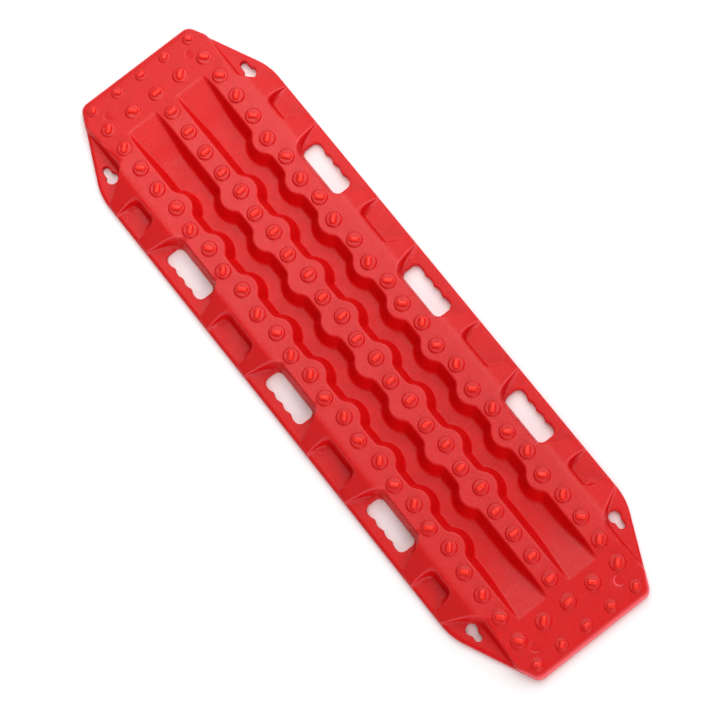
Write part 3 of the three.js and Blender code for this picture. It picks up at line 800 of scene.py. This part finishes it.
def moulding_mesh():
    """The whole skin: top face, underside, and the upright faces that join them along the edges.

    An upright face ends at the underside's points that are nearest to its own two. Where both have
    the same nearest point, validate() drops the face, and a slit up to 0.25 mm wide stays open.
    """
    top, top_faces = lifted(top_plan(), top_height)
    under, under_faces = lifted(under_plan(), under_height)
    edges = open_edges(top_faces)
    ends = np.unique(edges)
    below = dict(zip(ends.tolist(), nearest_in_plan(top[ends], under)))

    first_under = len(top)
    faces = top_faces.tolist()
    for a, b, c in (under_faces + first_under).tolist():
        faces.append((a, c, b))
    for a, b in edges.tolist():
        faces.append((b, a, first_under + below[a], first_under + below[b]))
    mesh = bpy.data.meshes.new("moulding")
    mesh.from_pydata((np.vstack([top, under]) * MM).tolist(), [], faces)
    add_masks(mesh, top)
    return mesh


# ---------------------------------------------------------------- material
# Colours, in linear light.
DEEP_RED, PLAIN_RED = (0.66, 0.0024, 0.0035, 1), (0.73, 0.0034, 0.0045, 1)
FLECK_RED = (0.60, 0.0020, 0.0030, 1)
# painted highlight: the bar tops in a brighter red, as if catching more light
BAR_HIGHLIGHT_RED = (0.90, 0.020, 0.008, 1)
# colour of the painted highlight lines
HIGHLIGHT_PINK = (0.95, 0.16, 0.19, 1)

# Sizes of what the noises draw, in metres, and how much finer detail they have.
PATCH_SIZE = 0.009
FLECK_SIZE, FLECK_DETAIL = 0.0005, 2
SHEEN_SIZE = 0.002
GRAIN_SIZE, GRAIN_DETAIL = 0.00035, 4
WAVE_SIZE, WAVE_DETAIL = 0.012, 1
PLAIN_DETAIL = 3
NOISE_LOW, NOISE_HIGH = 0.3, 0.7       # most of a noise's values lie between these

GRAIN_DEPTH, GRAIN_STRENGTH = 0.00005, 0.8
WAVE_DEPTH, WAVE_STRENGTH = 0.00006, 0.5
PLASTIC_IOR = 1.43
ROUGHNESS = (0.36, 0.46)
DECK_GLOSS, FLOOR_GLOSS, WALL_GLOSS = 0.5, 0.33, 0.15   # on the deck, the low floors and the walls
DECK_GLOSS_FROM = 2.6                  # height from which a level face is as glossy as the deck
UPRIGHT, LEVEL = 0.25, 0.75            # how much a wall and a level face point up, for the gloss

# The Mix node has sockets with the same names for each kind of value; these are the colours'.
MIX_SHARE, MIX_FIRST, MIX_SECOND, MIX_RESULT = 0, 6, 7, 2


class Nodes:
    """Short ways to add nodes to one material."""

    def __init__(self, name):
        self.material = bpy.data.materials.new(name)
        self.material.use_nodes = True
        self.tree = self.material.node_tree
        self.shader = self.tree.nodes["Principled BSDF"]

    def add(self, kind, sockets=None, **settings):
        """A node, with its settings and its sockets' values or links."""
        node = self.tree.nodes.new(kind)
        for name, value in settings.items():
            setattr(node, name, value)
        for name, value in (sockets or {}).items():
            self.put(node, name, value)
        return node

    def put(self, node, name, value):
        """A value or a link for one socket."""
        if isinstance(value, bpy.types.NodeSocket):
            self.tree.links.new(value, node.inputs[name])
        else:
            node.inputs[name].default_value = value

    def place(self):
        """Where a point of the board is, in metres."""
        return self.add("ShaderNodeTexCoord").outputs["Object"]

    def upward(self, vector):
        """The Z part of a vector."""
        return self.add("ShaderNodeSeparateXYZ", {"Vector": vector}).outputs["Z"]

    def mask(self, name):
        """A value that the mesh has at each point."""
        return self.add("ShaderNodeAttribute", attribute_name=name).outputs["Fac"]

    def noise(self, size, detail=PLAIN_DETAIL):
        """Noise with features of a size in metres."""
        sockets = {"Vector": self.place(), "Scale": 1 / size, "Detail": detail}
        return self.add("ShaderNodeTexNoise", sockets).outputs["Fac"]

    def scaled(self, value, low, high, from_low=NOISE_LOW, from_high=NOISE_HIGH):
        """A value spread over another range."""
        sockets = {
            "Value": value, "From Min": from_low, "From Max": from_high, "To Min": low, "To Max": high,
        }
        return self.add("ShaderNodeMapRange", sockets).outputs["Result"]

    def mixed(self, share, first, second):
        """Two colours, mixed."""
        node = self.add("ShaderNodeMix", data_type="RGBA")
        self.put(node, MIX_SHARE, share)
        self.put(node, MIX_FIRST, first)
        self.put(node, MIX_SECOND, second)
        return node.outputs[MIX_RESULT]

    def bump(self, height, depth, strength, under=None):
        """A normal that leans as a surface of this height would, on top of another normal if given."""
        sockets = {"Height": height, "Distance": depth, "Strength": strength}
        if under is not None:
            sockets["Normal"] = under
        return self.add("ShaderNodeBump", sockets).outputs["Normal"]


def plastic_colour(nodes):
    """Red with faint patches and flecks, and painted highlights: brighter on the bar tops and paler along
    the highlight lines.
    """
    patches = nodes.scaled(nodes.noise(PATCH_SIZE), 0, 1)
    flecks = nodes.scaled(nodes.noise(FLECK_SIZE, FLECK_DETAIL), 0, 1)
    red = nodes.mixed(patches, DEEP_RED, PLAIN_RED)
    red = nodes.mixed(flecks, red, FLECK_RED)
    # painted highlight: a brighter red on the bar tops
    red = nodes.mixed(nodes.mask(BAR_MASK), red, BAR_HIGHLIGHT_RED)
    # painted highlight lines along the rims, the front-facing walls and the ejector marks
    return nodes.mixed(nodes.mask(HIGHLIGHT_MASK), red, HIGHLIGHT_PINK)


def plastic_gloss(nodes):
    """Least on the walls, more on the low floors and most on the deck."""
    height = nodes.upward(nodes.place())
    level_gloss = nodes.scaled(height, FLOOR_GLOSS, DECK_GLOSS, FLANGE * MM, DECK_GLOSS_FROM * MM)
    facing_up = nodes.upward(nodes.add("ShaderNodeNewGeometry").outputs["Normal"])
    return nodes.scaled(facing_up, WALL_GLOSS, level_gloss, UPRIGHT, LEVEL)


def plastic_normal(nodes):
    """A fine sandy grain on very shallow waves."""
    grain = nodes.bump(nodes.noise(GRAIN_SIZE, GRAIN_DETAIL), GRAIN_DEPTH, GRAIN_STRENGTH)
    waves = nodes.noise(WAVE_SIZE, WAVE_DETAIL)
    return nodes.bump(waves, WAVE_DEPTH, WAVE_STRENGTH, under=grain)


def red_plastic():
    """Injection-moulded red plastic."""
    nodes = Nodes("red_plastic")
    nodes.put(nodes.shader, "IOR", PLASTIC_IOR)
    nodes.put(nodes.shader, "Base Color", plastic_colour(nodes))
    nodes.put(nodes.shader, "Roughness", nodes.scaled(nodes.noise(SHEEN_SIZE), *ROUGHNESS))
    nodes.put(nodes.shader, "Specular IOR Level", plastic_gloss(nodes))
    nodes.put(nodes.shader, "Normal", plastic_normal(nodes))
    return nodes.material


SHARP_ANGLE = math.radians(60)         # steeper creases than this aren't shaded smooth

moulding = bpy.data.objects.new("moulding", moulding_mesh())
bpy.context.collection.objects.link(moulding)
moulding.data.validate()
moulding.data.shade_smooth()
moulding.data.set_sharp_from_angle(angle=SHARP_ANGLE)
moulding.data.materials.append(red_plastic())
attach(moulding, "root")
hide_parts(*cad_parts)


# ---------------------------------------------------------------- floor, light and camera
FLOOR_SIZE = 3.0
FLOOR_GAP = 0.00002                    # keeps the floor's face clear of the board's
FLOOR_COLOUR, FLOOR_ROUGHNESS = (0.98, 0.98, 0.98, 1), 0.9

# The soft lamps hang round the board in these directions, at LAMP_DISTANCE.
Lamp = namedtuple("Lamp", "name direction size energy")
LAMPS = [
    Lamp("key", (-0.6, 0.75, 1.3), 0.9, 6.0),
    Lamp("front", (1.0, -0.2, 0.42), 0.5, 3.0),
]
LAMP_DISTANCE = 0.8
WHITE, SKY_STRENGTH = (1, 1, 1, 1), 0.38

# A small spot on the rear nose, with a soft edge.
SPOT_PLACE, SPOT_AIM = (-0.09, 0, 0.8), (-0.066, 0, 0)
SPOT_ENERGY, SPOT_ANGLE, SPOT_BLEND, SPOT_RADIUS = 5.6, math.radians(9), 1.0, 0.05

CAMERA_PLACE, CAMERA_AIM = (0.1313, -0.0466, 0.5420), (0.00306, -0.00177, 0.0025)
CAMERA_ROLL = math.radians(-19.11)
SENSOR_WIDTH, LENS = 36, 144.9         # in millimetres
CLIP_NEAR, CLIP_FAR = 0.01, 20


def floor():
    """A plain pale floor just under the board."""
    mesh = bpy.data.meshes.new("floor")
    half = FLOOR_SIZE / 2
    corners = [(x, y, -FLOOR_GAP) for x, y in ((-half, -half), (half, -half), (half, half), (-half, half))]
    mesh.from_pydata(corners, [], [(0, 1, 2, 3)])
    material = bpy.data.materials.new("floor")
    material.use_nodes = True
    shader = material.node_tree.nodes["Principled BSDF"]
    shader.inputs["Base Color"].default_value = FLOOR_COLOUR
    shader.inputs["Roughness"].default_value = FLOOR_ROUGHNESS
    mesh.materials.append(material)
    made = bpy.data.objects.new("floor", mesh)
    bpy.context.collection.objects.link(made)


def add_aimed(made, place, aim):
    """Adds a lamp or a camera at a place, pointing at another."""
    made.location = place
    made.rotation_mode = "QUATERNION"
    made.rotation_quaternion = (Vector(aim) - made.location).to_track_quat("-Z", "Y")
    bpy.context.collection.objects.link(made)


def soft_light():
    """White light from all round, two soft lamps, and the spot on the rear nose."""
    world = bpy.data.worlds.new("studio")
    bpy.context.scene.world = world
    world.use_nodes = True
    background = world.node_tree.nodes["Background"]
    background.inputs["Color"].default_value = WHITE
    background.inputs["Strength"].default_value = SKY_STRENGTH
    for lamp in LAMPS:
        light = bpy.data.lights.new(lamp.name, "AREA")
        light.size = lamp.size
        light.energy = lamp.energy
        place = Vector(lamp.direction).normalized() * LAMP_DISTANCE
        add_aimed(bpy.data.objects.new(lamp.name, light), place, (0, 0, 0))
    spot = bpy.data.lights.new("rear_spot", "SPOT")
    spot.energy = SPOT_ENERGY
    spot.spot_size = SPOT_ANGLE
    spot.spot_blend = SPOT_BLEND
    spot.shadow_soft_size = SPOT_RADIUS
    add_aimed(bpy.data.objects.new("rear_spot", spot), SPOT_PLACE, SPOT_AIM)


def camera():
    """The photograph's view: nearly from above, a little from the front and the right."""
    data = bpy.data.cameras.new("camera")
    data.sensor_width = SENSOR_WIDTH
    data.lens = LENS
    data.clip_start, data.clip_end = CLIP_NEAR, CLIP_FAR
    made = bpy.data.objects.new("camera", data)
    add_aimed(made, CAMERA_PLACE, CAMERA_AIM)
    made.rotation_quaternion = made.rotation_quaternion @ Quaternion((0, 0, 1), CAMERA_ROLL)
    bpy.context.scene.camera = made


floor()
soft_light()
camera()
bpy.context.scene.view_settings.view_transform = "Standard"
